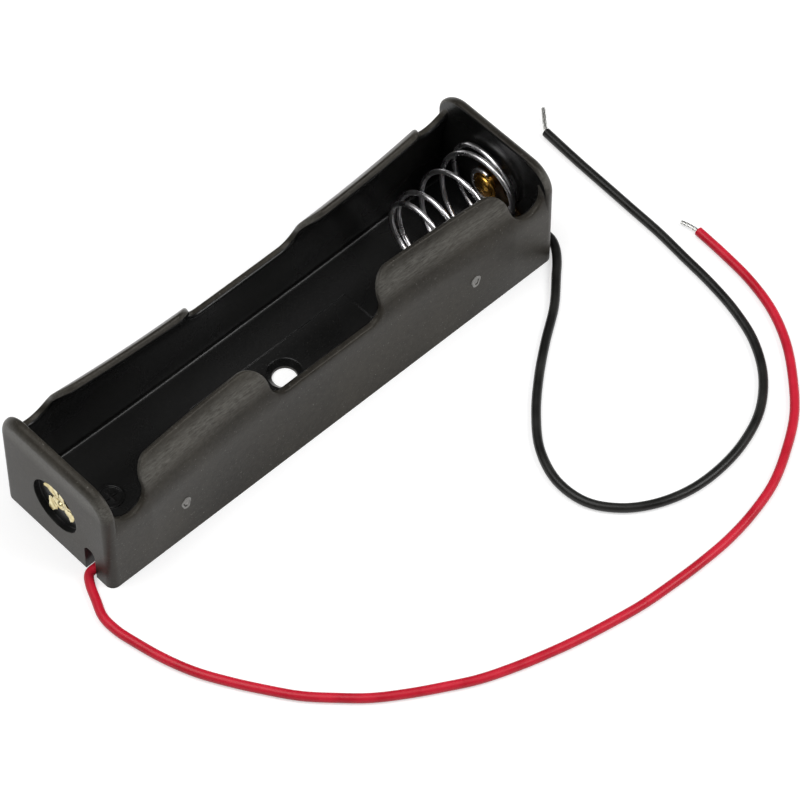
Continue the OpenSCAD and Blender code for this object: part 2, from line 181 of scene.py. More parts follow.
RED_ROUTE = mirrored(slot_route(RED_SLOT_Y)) + flat(
    (-39.5, -6.7), (-40.5, -8.1), (-41.4, -10.2), (-42.4, -12.7), (-42.5, -15.2), (-42.1, -17.7),
    (-41.0, -22.3), (-39.4, -26.7), (-37.2, -30.8), (-34.8, -34.6), (-32.2, -38.3), (-29.1, -41.6),
    (-25.9, -44.6), (-22.2, -47.2), (-18.4, -49.5), (-14.4, -51.7), (-10.1, -53.4), (-5.7, -54.8),
    (-1.2, -56), (3.5, -57), (8.2, -57.8), (13.1, -58.2), (18.1, -58.4), (23.2, -58.3),
    (28.3, -57.6), (33.5, -56.2), (38.5, -53.7), (43.3, -50.5), (47.3, -46.4), (50.8, -41.8),
    (53.3, -36.8), (54.7, -31.5), (55.3, -26.2), (55.6, -20.9),
)
BLACK_ROUTE = slot_route(BLACK_SLOT_Y) + flat(
    (39.1, -6.2), (40, -6.6), (40.4, -7.5), (40.3, -8.6), (39.8, -9.7), (39.1, -10.7),
    (38, -11.9), (36.6, -13.2), (32.8, -16.7), (28, -20), (23.4, -23.5), (19.1, -27.4),
    (15.5, -31.8), (13.6, -36.8), (14, -41.7), (16.6, -45.5), (20.4, -48.1), (25, -49.6),
    (30, -49.9), (35.3, -49.1), (40.5, -47), (44.9, -43.3), (48, -38.5), (49.7, -33.3),
    (50.6, -28), (51.1, -22.7), (51.6, -17.4), (51.8, -12), (52, -6.7), (52.2, -1.3),
    (52.6, 5.2),
)
RED_TIP = [(55.6, -20.9, LEAD_R), (55.4, -19.5, LEAD_R), (55.1, -18.2, LEAD_R - 0.1)]
BLACK_TIP = [(52.6, 5.2, LEAD_R), (53.6, 6.5, LEAD_R), (55.3, 8.5, LEAD_R - 0.1)]

# ---------------------------------------------------------------- shader nodes


def new_material(name):
    """An empty node material: its tree and its output node."""
    material = bpy.data.materials.new(name)
    material.use_nodes = True
    material.node_tree.nodes.clear()
    out = material.node_tree.nodes.new("ShaderNodeOutputMaterial")
    return material, material.node_tree, out


def feed(tree, socket, value):
    """Sets a socket to a plain value, or links it to another node's output."""
    if isinstance(value, bpy.types.NodeSocket):
        tree.links.new(value, socket)
    else:
        socket.default_value = value


def add_node(tree, kind, **inputs):
    """A shader node with the named inputs set or linked."""
    node = tree.nodes.new(kind)
    for name, value in inputs.items():
        feed(tree, node.inputs[name.replace("_", " ")], value)
    return node


def calculated(tree, operation, *values):
    """The result of a math node for some values, each a number or a socket."""
    node = tree.nodes.new("ShaderNodeMath")
    node.operation = operation
    for socket, value in zip(node.inputs, values):
        feed(tree, socket, value)
    return node.outputs[0]


def noise(tree, coords, scale, detail=3.0, rough=0.5):
    return add_node(tree, "ShaderNodeTexNoise", Vector=coords, Scale=scale, Detail=detail,
                    Roughness=rough).outputs["Fac"]


def spread(tree, value, low, high, to_low, to_high):
    """A value mapped from one range to another, and clamped."""
    node = add_node(tree, "ShaderNodeMapRange", Value=value, From_Min=low, From_Max=high,
                    To_Min=to_low, To_Max=to_high)
    return node.outputs["Result"]


def mixed_color(tree, factor, first, second):
    """A mix of two colours, each given as three numbers or as a socket."""
    node = tree.nodes.new("ShaderNodeMix")
    node.data_type = "RGBA"
    feed(tree, node.inputs["Factor"], factor)
    for name, color in (("A", first), ("B", second)):
        socket_given = isinstance(color, bpy.types.NodeSocket)
        feed(tree, node.inputs[name], color if socket_given else (*color, 1))
    return node.outputs["Result"]


def bumped(tree, shader, height, distance, strength=1.0, edge=0.0):
    """Bump from a height value, over edges rounded by a radius where one is given."""
    bump = add_node(tree, "ShaderNodeBump", Height=height, Distance=distance, Strength=strength)
    if edge:
        rounded = add_node(tree, "ShaderNodeBevel", Radius=edge)
        rounded.samples = 6
        tree.links.new(rounded.outputs[0], bump.inputs["Normal"])
    tree.links.new(bump.outputs[0], shader.inputs["Normal"])


def seen_directly(tree):
    """A socket that is 1 for what the camera, a mirror or glass sees directly."""
    path = tree.nodes.new("ShaderNodeLightPath").outputs
    mirrored_too = calculated(tree, "MAXIMUM", path["Is Camera Ray"], path["Is Glossy Ray"])
    return calculated(tree, "MAXIMUM", mirrored_too, path["Is Transmission Ray"])


# ---------------------------------------------------------------- camera, floor and light

CAMERA_AT = Vector((-0.2205, -0.2592, 0.4701))
CAMERA_TARGET = Vector((0.00386, -0.01789, 0.0084))
CAMERA_ROLL = math.radians(-0.23)
CAMERA_LENS = 199.74
FLOOR_HALF = 3.0
FLOOR_TONE = 0.62
FLOOR_GLOW = 0.52
SURROUND_STRENGTH = 0.25
OVERHEAD_STRENGTH = 0.12


def add_camera():
    """The camera: a long lens, above and to the lead side."""
    camera = bpy.data.cameras.new("camera")
    camera.lens = CAMERA_LENS
    camera.sensor_width = 36
    camera.clip_end = 10
    holder = bpy.data.objects.new("camera", camera)
    bpy.context.scene.collection.objects.link(holder)
    look = (CAMERA_TARGET - CAMERA_AT).to_track_quat("-Z", "Y")
    roll = Matrix.Rotation(CAMERA_ROLL, 4, "Z")
    holder.matrix_world = Matrix.Translation(CAMERA_AT) @ look.to_matrix().to_4x4() @ roll
    bpy.context.scene.camera = holder


def add_area_light(name, at, size, power):
    """A square soft light at a point, aimed at the holder."""
    light = bpy.data.lights.new(name, "AREA")
    light.shape = "SQUARE"
    light.size = size
    light.energy = power
    lamp = bpy.data.objects.new(name, light)
    bpy.context.scene.collection.objects.link(lamp)
    lamp.location = at
    lamp.rotation_euler = (-Vector(at)).to_track_quat("-Z", "Y").to_euler()


def white_floor_material():
    """A matt pale floor, with a glow where it is seen directly, so that it looks white."""
    material, tree, out = new_material("floor_white")
    paper = add_node(tree, "ShaderNodeBsdfDiffuse", Color=(FLOOR_TONE, FLOOR_TONE, FLOOR_TONE, 1))
    strength = calculated(tree, "MULTIPLY", seen_directly(tree), FLOOR_GLOW)
    glow = add_node(tree, "ShaderNodeEmission", Color=(1, 1, 1, 1), Strength=strength)
    both = tree.nodes.new("ShaderNodeAddShader")
    tree.links.new(paper.outputs[0], both.inputs[0])
    tree.links.new(glow.outputs[0], both.inputs[1])
    tree.links.new(both.outputs[0], out.inputs["Surface"])
    return material


def add_floor():
    """A plain floor that looks white and keeps the holder's soft shadow."""
    mesh = bpy.data.meshes.new("floor")
    corners = [(x * FLOOR_HALF, y * FLOOR_HALF, 0) for x, y in ((-1, -1), (1, -1), (1, 1), (-1, 1))]
    mesh.from_pydata(corners, [], [(0, 1, 2, 3)])
    mesh.materials.append(white_floor_material())
    floor = bpy.data.objects.new("floor", mesh)
    bpy.context.scene.collection.objects.link(floor)


def add_world():
    """A soft surround: white round the horizon where it is seen directly, and darker overhead."""
    world = bpy.data.worlds.new("studio")
    bpy.context.scene.world = world
    world.use_nodes = True
    tree = world.node_tree
    tree.nodes.clear()
    surround = add_node(tree, "ShaderNodeBackground", Color=(1, 1, 1, 1), Strength=SURROUND_STRENGTH)
    way = tree.nodes.new("ShaderNodeTexCoord").outputs["Generated"]
    height = add_node(tree, "ShaderNodeSeparateXYZ", Vector=way).outputs["Z"]
    fading = spread(tree, height, 0.09, 0.22, 1, OVERHEAD_STRENGTH)
    white = add_node(tree, "ShaderNodeBackground", Color=(1, 1, 1, 1), Strength=fading)
    mix = tree.nodes.new("ShaderNodeMixShader")
    tree.links.new(seen_directly(tree), mix.inputs[0])
    tree.links.new(surround.outputs[0], mix.inputs[1])
    tree.links.new(white.outputs[0], mix.inputs[2])
    out = tree.nodes.new("ShaderNodeOutputWorld")
    tree.links.new(mix.outputs[0], out.inputs["Surface"])


# ---------------------------------------------------------------- materials

# Pale colour of the specks, and of the worn streaks and painted highlight in a band along the lips' bends.
SPECK_SCUFF_AND_PAINTED_HIGHLIGHT_COLOR = (0.17, 0.165, 0.15)
SCUFF_AND_PAINTED_HIGHLIGHT_MOST = 0.9


def surface(name, color, roughness, metallic=0.0):
    """A material with one principled shader, and its coordinates in the piece's own space."""
    material, tree, out = new_material(name)
    shader = add_node(tree, "ShaderNodeBsdfPrincipled", Base_Color=(*color, 1), Roughness=roughness,
                      Metallic=metallic)
    tree.links.new(shader.outputs[0], out.inputs["Surface"])
    coords = tree.nodes.new("ShaderNodeTexCoord").outputs["Object"]
    return material, tree, shader, coords


def scuffs_and_painted_highlight(tree, coords):
    """How worn and how lit a place is: fine streaks along X in a band at the height of the lips' bends, which
    is painted highlight as well as wear.
    """
    height = add_node(tree, "ShaderNodeSeparateXYZ", Vector=coords).outputs["Z"]
    below = spread(tree, height, 0.0138, 0.0156, 0, 1)
    above = spread(tree, height, 0.0166, 0.0178, 1, 0)
    streaks = add_node(tree, "ShaderNodeMapping", Vector=coords, Scale=(0.2, 1, 1)).outputs[0]
    rubbed_and_painted_highlight = spread(tree, noise(tree, streaks, 3800, 5.0, 0.75), 0.25, 0.8, 0, SCUFF_AND_PAINTED_HIGHLIGHT_MOST)
    return calculated(tree, "MULTIPLY", rubbed_and_painted_highlight, calculated(tree, "MULTIPLY", below, above))


def moulded_plastic(name, dark, light, gloss, speck, scuffed_with_painted_highlight, roughness=0.34):
    """Moulded plastic with a fine grain, faint specks and, where asked, a warm gloss and a band of wear and
    painted highlight along the lips' bends.
    """
    material, tree, shader, coords = surface(name, dark, 0.45)
    shader.inputs["Specular IOR Level"].default_value = gloss
    patch = noise(tree, coords, 70, 4.0)
    mottle = noise(tree, coords, 1400, 3.0, 0.7)
    tone = calculated(tree, "MULTIPLY_ADD", mottle, 0.6, patch)
    plain = mixed_color(tree, spread(tree, tone, 0.55, 1.05, 0, 1), dark, light)
    fleck_and_painted_highlight = spread(tree, noise(tree, coords, 4200, 2.0), 0.66, 0.76, 0, speck)
    if scuffed_with_painted_highlight:
        shader.inputs["Specular Tint"].default_value = (1, 0.95, 0.87, 1)
        # Painted highlight: the lips' bends are lightened in a streaky band, standing in for the lamps' light
        # there as well as for wear.
        fleck_and_painted_highlight = calculated(tree, "MAXIMUM", scuffs_and_painted_highlight(tree, coords), fleck_and_painted_highlight)
    feed(tree, shader.inputs["Base Color"], mixed_color(tree, fleck_and_painted_highlight, plain, SPECK_SCUFF_AND_PAINTED_HIGHLIGHT_COLOR))
    feed(tree, shader.inputs["Roughness"], spread(tree, patch, 0.3, 0.7, roughness - 0.05, roughness + 0.06))
    bumped(tree, shader, noise(tree, coords, 3500, 4.0, 0.6), 0.00003, 0.5, edge=0.0002)
    return material


def insulation(name, dark, light, roughness):
    """Extruded soft plastic: faint patches of colour and a soft sheen."""
    material, tree, shader, coords = surface(name, light, roughness)
    shader.inputs["Specular IOR Level"].default_value = 0.3
    patch = spread(tree, noise(tree, coords, 300, 4.0), 0.35, 0.65, 0, 1)
    feed(tree, shader.inputs["Base Color"], mixed_color(tree, patch, dark, light))
    feed(tree, shader.inputs["Roughness"], spread(tree, patch, 0, 1, roughness - 0.05, roughness + 0.06))
    bumped(tree, shader, noise(tree, coords, 1500, 3.0), 0.00002, 0.4)
    return material


def metal(name, dark, light, roughness, scale=900, height=0.00002, edge=0.00008):
    """Worked metal: stained in patches, with a fine uneven surface."""
    material, tree, shader, coords = surface(name, light, roughness, metallic=1.0)
    stain = spread(tree, noise(tree, coords, scale * 0.6, 5.0, 0.6), 0.35, 0.7, 0, 1)
    feed(tree, shader.inputs["Base Color"], mixed_color(tree, stain, light, dark))
    feed(tree, shader.inputs["Roughness"], spread(tree, stain, 0, 1, roughness, roughness + 0.15))
    bumped(tree, shader, noise(tree, coords, scale * 3, 4.0), height, 0.5, edge=edge)
    return material


# ---------------------------------------------------------------- curves and tubes


def catmull(points, steps):
    """A smooth route through the points, with some steps to each span."""
    p = [Vector(points[0])] + [Vector(q) for q in points] + [Vector(points[-1])]
    out = []
    for i in range(1, len(p) - 2):
        for k in range(steps):
            t = k / steps
            a = 2 * p[i]
            b = (p[i + 1] - p[i - 1]) * t
            c = (2 * p[i - 1] - 5 * p[i] + 4 * p[i + 1] - p[i + 2]) * t * t
            d = (3 * p[i] - p[i - 1] - 3 * p[i + 1] + p[i + 2]) * t ** 3
            out.append(0.5 * (a + b + c + d))
    return out + [p[-2]]


def round_curve(name, points, radius, material):
    """A round bar along points in mm, as a curve with flat capped ends."""
    curve = bpy.data.curves.new(name, "CURVE")
    curve.dimensions = "3D"
    curve.bevel_depth = radius * MM
    curve.bevel_resolution = 6
    curve.use_fill_caps = True
    spline = curve.splines.new("POLY")
    spline.points.add(len(points) - 1)
    for place, point in zip(spline.points, points):
        place.co = (*(Vector(point) * MM), 1)
    spline.use_smooth = True
    curve.materials.append(material)
    piece = bpy.data.objects.new(name, curve)
    bpy.context.scene.collection.objects.link(piece)
    return piece


def route_length(points):
    return sum((Vector(b) - Vector(a)).length for a, b in zip(points, points[1:])) * MM


def add_mesh(name, vertices, faces, material, smooth=True):
    """A mesh piece from vertices in mm."""
    mesh = bpy.data.meshes.new(name)
    mesh.from_pydata([Vector(v) * MM for v in vertices], [], faces)
    mesh.update()
    if smooth:
        mesh.shade_smooth()
    if material:
        mesh.materials.append(material)
    piece = bpy.data.objects.new(name, mesh)
    bpy.context.scene.collection.objects.link(piece)
    return piece


def frames_along(points):
    """Each point of a line, the way ahead there, and a side that turns no more than it must."""
    last = len(points) - 1
    side = None
    for i, point in enumerate(points):
        ahead = (Vector(points[min(i + 1, last)]) - Vector(points[max(i - 1, 0)])).normalized()
        if side is None:
            side = ahead.orthogonal().normalized()
        side = (side - ahead * side.dot(ahead)).normalized()
        yield Vector(point), ahead, side


def tube(points, radius, sides, bevel=0.0):
    """Vertices and faces of a round tube along points, with its ends bevelled by a small width."""
    rings = [(centre, side, ahead.cross(side), radius, ahead) for centre, ahead, side in frames_along(points)]
    if bevel:
        head, tail = rings[0], rings[-1]
        rings[0] = (head[0] + head[4] * bevel, *head[1:])
        rings[-1] = (tail[0] - tail[4] * bevel, *tail[1:])
        rings.insert(0, (head[0], head[1], head[2], radius - bevel, head[4]))
        rings.append((tail[0], tail[1], tail[2], radius - bevel, tail[4]))
    vertices = []
    for centre, across, up, r, _ in rings:
        for k in range(sides):
            angle = 2 * math.pi * k / sides
            vertices.append(centre + r * (math.cos(angle) * across + math.sin(angle) * up))
    faces = []
    for i in range(len(rings) - 1):
        for k in range(sides):
            nxt = (k + 1) % sides
            faces.append((i * sides + k, i * sides + nxt, (i + 1) * sides + nxt, (i + 1) * sides + k))
    faces.append(tuple(range(sides - 1, -1, -1)))
    faces.append(tuple(range(len(vertices) - sides, len(vertices))))
    return vertices, faces


# ---------------------------------------------------------------- leads


def strand_route(y):
    """The bare strands' way from a lead's inner end up into the solder at the +X end."""
    bend_x = INNER_END_X - 0.7
    return [
        (INNER_END_X, y, INNER_END_Z),
        (INNER_END_X - 0.45, y, INNER_END_Z + 0.1),
        (bend_x, (y + SLOT_Y) / 2, LEG_BOTTOM_Z - 0.45),
        (bend_x, SLOT_Y, LEG_BOTTOM_Z + 0.1),
        (INNER_END_X - 0.4, SLOT_Y, LEG_BOTTOM_Z + 0.5),
        (INNER_END_X, SLOT_Y, LEG_BOTTOM_Z + 0.65),
    ]


def twisted_strands(name, route, material, turns):
    """A bundle of fine wires twisted about a route, one in the middle and the rest round it."""
    fine = STRAND_R / 3
    path = catmull(route, 10)
    last = len(path) - 1
    vertices, faces = [], []
    for s in range(STRAND_COUNT):
        line = []
        for i, (centre, ahead, side) in enumerate(frames_along(path)):
            angle = 2 * math.pi * (s / (STRAND_COUNT - 1) + turns * i / last)
            off = math.cos(angle) * side + math.sin(angle) * ahead.cross(side)
            line.append(centre + (2 * fine * off if s else 0 * off))
        own_vertices, own_faces = tube(line, fine, 8)
        faces += [tuple(k + len(vertices) for k in face) for face in own_faces]
        vertices += own_vertices
    return add_mesh(name, vertices, faces, material)


def add_lead(color, route, tip, inner, cover, tin, copper):
    """One lead: its insulation, its tinned end and the strands inside the bay."""
    path = catmull(route, 6)
    wire = round_curve(color + "_lead_insulation", path, LEAD_R, cover)
    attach(wire, "holder")
    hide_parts(color + "_lead")
    end = twisted_strands(color + "_lead_tinned_strands", tip, tin, 0.8)
    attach(end, "holder")
    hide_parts(color + "_lead_tinned_end")
    strands = twisted_strands(color + "_lead_copper_strands", inner, copper, 1.0)
    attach(strands, "holder")
    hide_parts(color + "_lead_inner_strands")
    route_length(path)


# ---------------------------------------------------------------- spring


def spring_share(turns):
    """Share of the free length reached after some turns: close coils at both ends."""
    for (a, low), (b, high) in zip(SPRING_SHARES, SPRING_SHARES[1:]):
        if turns <= b:
            return low + (high - low) * (turns - a) / (b - a)
    return 1.0


def ease(value):
    """A smooth rise from 0 to 1."""
    u = max(0.0, min(1.0, value))
    return u * u * (3 - 2 * u)


def spring_point(turns):
    if turns < 0:
        r = SPRING_EYE_R + (SPRING_BASE_R - SPRING_EYE_R) * (1 + turns / SPRING_EYE_TURNS)
    else:
        r = SPRING_BASE_R + (SPRING_FREE_R - SPRING_BASE_R) * turns / SPRING_TURNS
    fade = ease(turns / LEAN_RISE) * ease((SPRING_TURNS - turns) / LEAN_FADE)
    lean = COIL_LEAN * fade * math.cos(2 * math.pi * turns)
    angle = math.radians(SPRING_PHASE - 360 * turns)
    return (COIL_X - SPRING_L * spring_share(turns) + lean, r * math.cos(angle),
            CONTACT_Z + r * math.sin(angle))


def add_spring(material):
    """The coil in its free length; a real one shortens against its end wall as a cell is pressed in."""
    steps = 48
    first, last = round(-SPRING_EYE_TURNS * steps), round(SPRING_TURNS * steps)
    line = [spring_point(k / steps) for k in range(first, last + 1)]
    coil = add_mesh("contact_spring_coil", *tube(line, SPRING_WIRE_R, 20, bevel=0.08), material)
    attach(coil, "holder")
    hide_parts("contact_spring")
    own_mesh(coil)


# ---------------------------------------------------------------- rivets

# One torn petal of the flared rivet end in each row: its direction in degrees from +Y towards +Z,
# its reach, the half width of its tip, how far the tip lifts, and how far it twists, in mm
PETALS = (
    (73, 3.85, 0.46, 0.28, 0.15), (46, 3.3, 0.44, 0.40, -0.25), (121, 2.9, 0.95, 0.46, 0.3),
    (163, 3.5, 0.34, 0.5, -0.25), (202, 3.0, 0.62, 0.22, 0.28), (318, 2.3, 1.0, 0.45, -0.3),
)


def petal_row(u, reach, tip_half, lift, twist, wobble, steps):
    """Points across a petal at a share u of its reach: distance from the axis, side and height."""
    half = PETAL_ROOT_HALF + (tip_half - PETAL_ROOT_HALF) * ease(u * 1.8) + 0.06 * math.sin(9 * u + wobble)
    half *= math.sqrt(max(1 - (max(u - 0.88, 0) / 0.135) ** 2, 0.2))
    rise = 0.02 + 0.2 * math.sin(math.pi * min(1.5 * u, 1)) + lift * u ** 2
    row = []
    for j in range(steps + 1):
        v = 2 * j / steps - 1
        along = PETAL_ROOT_R + (reach - PETAL_ROOT_R) * u - 0.14 * v * v * u
        height = rise - 0.09 * v * v + twist * u * u * v
        row.append((along, half * v, min(height, PETAL_TOP)))
    return row


def petal(direction, reach, tip_half, lift, twist):
    """Vertices and faces of one petal: it rolls over the hole's edge and its torn tip curls up."""
    long_steps, wide_steps = 16, 6
    rows = [petal_row(i / long_steps, reach, tip_half, lift, twist, direction, wide_steps)
            for i in range(long_steps + 1)]
    angle = math.radians(direction)
    vertices = []
    for thickness in (PETAL_T, 0):
        for row in rows:
            for along, across, height in row:
                y = along * math.cos(angle) - across * math.sin(angle)
                z = along * math.sin(angle) + across * math.cos(angle)
                vertices.append((WEB_X + height + thickness - 0.1, y, CONTACT_Z + z))
    return vertices, shell_faces(long_steps, wide_steps)


def shell_faces(long_steps, wide_steps):
    """Faces of a thin closed shell: an upper and a lower grid of points and the rim between them."""
    width = wide_steps + 1
    count = (long_steps + 1) * width
    faces = []
    for i in range(long_steps):
        for j in range(wide_steps):
            a = i * width + j
            faces.append((a, a + 1, a + 1 + width, a + width))
            faces.append(tuple(k + count for k in (a, a + width, a + 1 + width, a + 1)))
    rim = [j for j in range(width)] + [i * width + wide_steps for i in range(1, long_steps + 1)]
    rim += [long_steps * width + j for j in range(wide_steps - 1, -1, -1)]
    rim += [i * width for i in range(long_steps - 1, 0, -1)]
    for a, b in zip(rim, rim[1:] + rim[:1]):
        faces.append((a, a + count, b + count, b))
    return faces


def lathe(profile):
    """Vertices and faces of a closed body turned about the rivets' axis from (x, radius) points."""
    steps = 56
    vertices = [(profile[0][0], 0, CONTACT_Z)]
    for x, r in profile[1:-1]:
        for k in range(steps):
            a = 2 * math.pi * k / steps
            vertices.append((x, r * math.cos(a), CONTACT_Z + r * math.sin(a)))
    vertices.append((profile[-1][0], 0, CONTACT_Z))
    last = len(vertices) - 1
    faces = []
    for k in range(steps):
        n = (k + 1) % steps
        faces.append((0, 1 + k, 1 + n))
        for i in range(len(profile) - 3):
            a, b = 1 + i * steps, 1 + (i + 1) * steps
            faces.append((a + k, b + k, b + n, a + n))
        end = 1 + (len(profile) - 3) * steps
        faces.append((end + k, last, end + n))
    return vertices, faces


def rivet_profile(head_x):
    """Half section of a hollow rivet: domed head with a thin brim, shank, and bore from outside."""
    dome = []
    for k in range(13):
        a = math.radians(7.5 * k)
        dome.append((head_x - BRIM_T - (HEAD_H - BRIM_T) * math.cos(a), (HEAD_R - BRIM_W) * math.sin(a)))
    brim = [(head_x - 0.2, HEAD_R - 0.22), (head_x - 0.17, HEAD_R - 0.08), (head_x - 0.1, HEAD_R),
            (head_x - 0.03, HEAD_R - 0.03), (head_x, HEAD_R - 0.1)]
    bore = SHANK_R / 2
    shank = [(head_x, SHANK_R), (WEB_X, SHANK_R), (WEB_X + 0.12, SHANK_R + 0.12),
             (WEB_X + 0.24, SHANK_R), (WEB_X + 0.2, bore + 0.2), (WEB_X, bore), (head_x, bore),
             (head_x - 0.2, 0)]
    return dome + brim + shank


def add_rivet(name, node, head_x, side, turn, material):
    """A rivet with its head in the bay and its torn petals in the window of the end wall."""
    vertices, faces = lathe(rivet_profile(head_x))
    for direction, *rest in PETALS:
        own_vertices, own_faces = petal(direction + turn, *rest)
        faces += [tuple(k + len(vertices) for k in face) for face in own_faces]
        vertices += own_vertices
    piece = add_mesh(name, [(v[0] * side, v[1], v[2]) for v in vertices], faces, material)
    turn_outward(piece.data)
    piece.data.set_sharp_from_angle(angle=math.radians(50))
    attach(piece, "holder")
    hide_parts(node)


# ---------------------------------------------------------------- housing, as closed shapes


def wall_lean(x, z):
    """How far the wall leans inward at distance x from mid length and at height z."""
    u = min(abs(x) / LIP_END, 1)
    v = min(z / LEAN_FULL_Z, 1)
    return WALL_LEAN * math.cos(math.pi / 2 * u ** 1.5) * (1 - (1 - v) ** 2)


def wall_point(x, h, depth):
    """Point of the +Y wall at a height h along its outside, and a depth below that outside."""
    bend = max(h - AXIS_Z, 0) / OUTER_R
    y = (OUTER_R - depth) * math.cos(bend)
    z = min(h, AXIS_Z) + (OUTER_R - depth) * math.sin(bend)
    return (x, y - wall_lean(x, z), z)


def arc(x, z, r, start, stop, steps=12):
    """Points of an arc in the wall's plane, by angles in degrees."""
    angles = [math.radians(start + (stop - start) * k / steps) for k in range(steps + 1)]
    return [(x + r * math.cos(a), z + r * math.sin(a)) for a in angles]


def run(x0, x1, z):
    """Points of a level stretch, without its ends."""
    count = max(int(abs(x1 - x0) / 0.8), 2)
    return [(x0 + (x1 - x0) * k / count, z) for k in range(1, count)]


def wall_outline():
    """Top edge of a side wall from mid length to the +X end wall."""
    notch_r = (INNER_X - LIP_END) / 2 - 0.01
    low = MID_CUT_Z + MID_CUT_R
    points = [(0, MID_CUT_Z)] + run(0, LIP_START - MID_CUT_R, MID_CUT_Z)
    points += arc(LIP_START - MID_CUT_R, low, MID_CUT_R, -90, 0)
    points += arc(LIP_START + MID_LIP_R, LIP_TOP_Z - MID_LIP_R, MID_LIP_R, 180, 90)
    points += run(LIP_START + MID_LIP_R, LIP_END - END_LIP_R, LIP_TOP_Z)
    points += arc(LIP_END - END_LIP_R, LIP_TOP_Z - END_LIP_R, END_LIP_R, 90, 0)
    points += arc(LIP_END + notch_r, END_CUT_Z + notch_r, notch_r, 180, 270)
    points += arc(INNER_X - notch_r, END_CUT_Z + notch_r, notch_r, 270, 360)
    rise = [AXIS_Z + OUTER_R * math.asin((z - AXIS_Z) / OUTER_R) for _, z in points]
    right = [Vector((x, h)) for (x, _), h in zip(points, rise)]
    return [Vector((-p.x, p.y)) for p in right[:0:-1]] + right


def edge_insets():
    """Insets and depths over a wall's rounded top edge, from its outside to its inside."""
    turns = [math.radians(22.5 * k) for k in range(5)]
    outer = [(EDGE_R * (1 - math.sin(a)), EDGE_R * (1 - math.cos(a))) for a in turns]
    return outer + [(inset, SIDE_WALL - depth) for inset, depth in reversed(outer)]


def wall_column(top, along, foot_place):
    """Closed section of a side wall: from its foot up to a point of its top edge and down again.

    The foot lies mostly below that point and partly at its own place, so the sections spread out.
    """
    inward = Vector((along.y, -along.x))
    edge = top + inward * EDGE_R
    foot_x = 0.7 * edge.x + 0.3 * foot_place
    fillet_top = FLOOR_T + FLOOR_FILLET_R
    outside = [((edge.x - foot_x) * t + foot_x, edge.y * t) for t in (k / 28 for k in range(28))]
    over = [(*(top + inward * inset), depth) for inset, depth in edge_insets()]
    inside = [((foot_x - edge.x) * t + edge.x, edge.y + (fillet_top - edge.y) * t)
              for t in (k / 24 for k in range(1, 25))]
    column = [wall_point(x, h, 0) for x, h in outside]
    column += [wall_point(x, h, depth) for x, h, depth in over]
    column += [wall_point(x, h, SIDE_WALL) for x, h in inside]
    for k in range(1, 6):
        a = math.radians(18 * k)
        column.append(wall_point(foot_x, fillet_top - FLOOR_FILLET_R * math.sin(a),
                                 SIDE_WALL + FLOOR_FILLET_R * (1 - math.cos(a))))
    column.append((foot_x, BAY_R - FLOOR_FILLET_R - wall_lean(foot_x, FLOOR_T), 0))
    return column


def wall_columns():
    """Closed sections of a side wall, one under each point of its top edge."""
    outline = wall_outline()
    last = len(outline) - 1
    travelled = [0.0]
    for a, b in zip(outline, outline[1:]):
        travelled.append(travelled[-1] + (b - a).length)
    reach = outline[-1].x + EDGE_R
    columns = []
    for i, top in enumerate(outline):
        along = (outline[min(i + 1, last)] - outline[max(i - 1, 0)]).normalized()
        foot_place = reach * (2 * travelled[i] / travelled[-1] - 1)
        columns.append(wall_column(top, along, foot_place))
    return columns


def loft(columns):
    """Vertices and faces of a closed body through closed sections of equal length."""
    size = len(columns[0])
    vertices = [point for column in columns for point in column]
    faces = []
    for i in range(len(columns) - 1):
        for k in range(size):
            n = (k + 1) % size
            faces.append((i * size + k, (i + 1) * size + k, (i + 1) * size + n, i * size + n))
    faces.append(tuple(range(size)))
    faces.append(tuple(range(len(vertices) - 1, len(vertices) - size - 1, -1)))
    return vertices, faces


def end_profile(inset):
    """Outline of an end wall in Y and Z, drawn in by an inset along its sides and top."""
    half = OUTER_R - inset
    top = BODY_H - inset
    r = SHOULDER_R - inset
    right = [(half, 0), (half, (top - r) * 0.5)]
    right += [(y, z) for y, z in arc(half - r, top - r, r, 0, 90, 14)]
    return right + [(-y, z) for y, z in reversed(right)]


def end_wall_columns():
    """Sections of the +X end wall, from its inner face to its rounded outer face."""
    rings = []
    for k in range(5):
        a = math.radians(22.5 * k)
        rings.append((INNER_X + EDGE_R * (1 - math.cos(a)), EDGE_R * (1 - math.sin(a))))
    for k in range(9):
        a = math.radians(11.25 * k)
        rings.append((BODY_L / 2 - CORNER_R * (1 - math.sin(a)), CORNER_R * (1 - math.cos(a))))
    return [[(x, y, z) for y, z in end_profile(inset)] for x, inset in rings]


def slab(low, high):
    """Vertices and faces of a block between two corners."""
    (x0, y0, z0), (x1, y1, z1) = low, high
    return loft([[(x, y0, z0), (x, y0, z1), (x, y1, z1), (x, y1, z0)] for x in (x0, x1)])


def turned(profile, centre, axis):
    """Vertices and faces of a closed body: rings of (distance along the axis, radius)."""
    steps = 96
    columns = []
    for along, r in profile:
        ring = []
        for k in range(steps):
            a = 2 * math.pi * k / steps
            if axis == "x":
                ring.append((along, centre[0] + r * math.cos(a), centre[1] + r * math.sin(a)))
            else:
                ring.append((centre[0] + r * math.cos(a), centre[1] - r * math.sin(a), along))
        columns.append(ring)
    return loft(columns)


def slot_cutter():
    """Arched slot of a lead, through the +X end wall and a little way into the floor."""
    crown = SLOT_H - SLOT_R
    section = [(SLOT_Y + SLOT_R, -CUT), (SLOT_Y + SLOT_R, crown * 0.5)]
    section += arc(SLOT_Y, crown, SLOT_R, 0, 180, 16)
    section += [(SLOT_Y - SLOT_R, crown * 0.5), (SLOT_Y - SLOT_R, -CUT)]
    return loft([[(x, y, z) for y, z in section] for x in (INNER_X - CHANNEL_L, BODY_L / 2 + CUT)])


